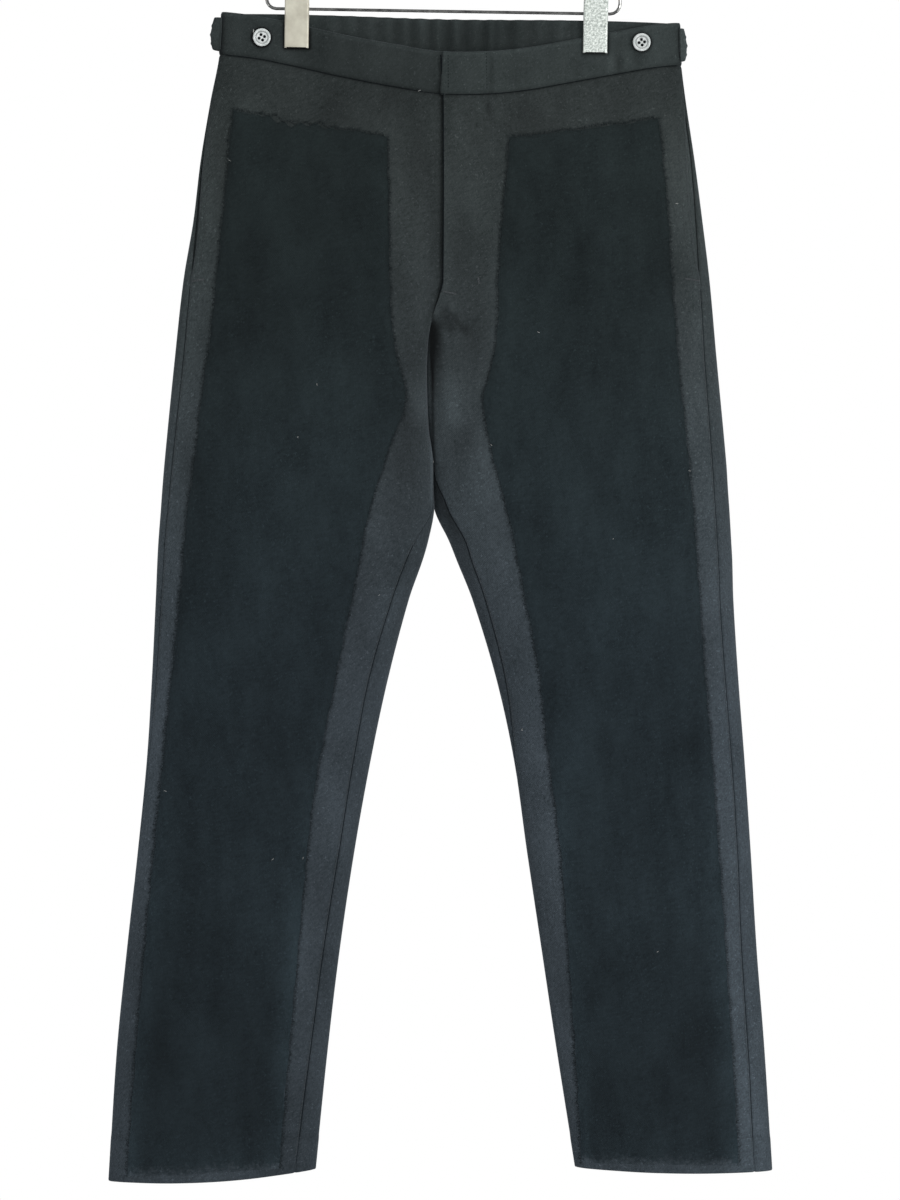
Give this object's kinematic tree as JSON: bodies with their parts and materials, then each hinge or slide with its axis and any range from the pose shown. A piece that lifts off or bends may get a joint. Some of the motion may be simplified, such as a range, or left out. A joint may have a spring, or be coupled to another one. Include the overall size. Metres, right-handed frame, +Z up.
{
  "type": "double-knee trousers on a wire hanger",
  "caption": "Charcoal trousers with large raw-edged felt panels doubling both fronts, side adjuster straps and a gathered back band, clipped flat to a wire hanger.",
  "frame": {"origin": "the top inside of the hanger's hook, where it rests on a rail", "axes": "+Z up, -Y out of the trousers' front, the wearer's right leg at -X"},
  "size_m": [0.5965, 0.0569, 1.1947],
  "materials": {
    "main_cloth": "charcoal wool flannel, matt",
    "waistband_cloth": "charcoal wool flannel, matt, edge stitched",
    "overlay_cloth": "blue-black felted wool with raw edges",
    "button": "grey, satin",
    "hanger_wire": "bright drawn wire",
    "clip": "plated, lightly speckled"
  },
  "bodies": {
    "root": {"front_right": "main_cloth", "front_left": "main_cloth", "back_right": "main_cloth", "back_left": "main_cloth", "pocket_facing_right": "main_cloth", "pocket_facing_left": "main_cloth", "fly_shield": "main_cloth", "overlay_right": "overlay_cloth", "overlay_left": "overlay_cloth", "waistband_front_right": "waistband_cloth", "waistband_front_left": "waistband_cloth", "waistband_back": "waistband_cloth", "adjuster_strap_right": "waistband_cloth", "adjuster_strap_left": "waistband_cloth", "button_right": "button", "button_left": "button", "hanger_wire": "hanger_wire", "clip_right_spring": "hanger_wire", "clip_left_spring": "hanger_wire", "clip_right_front_jaw": "clip", "clip_right_back_jaw": "clip", "clip_left_front_jaw": "clip", "clip_left_back_jaw": "clip"}
  },
  "joints": []
}
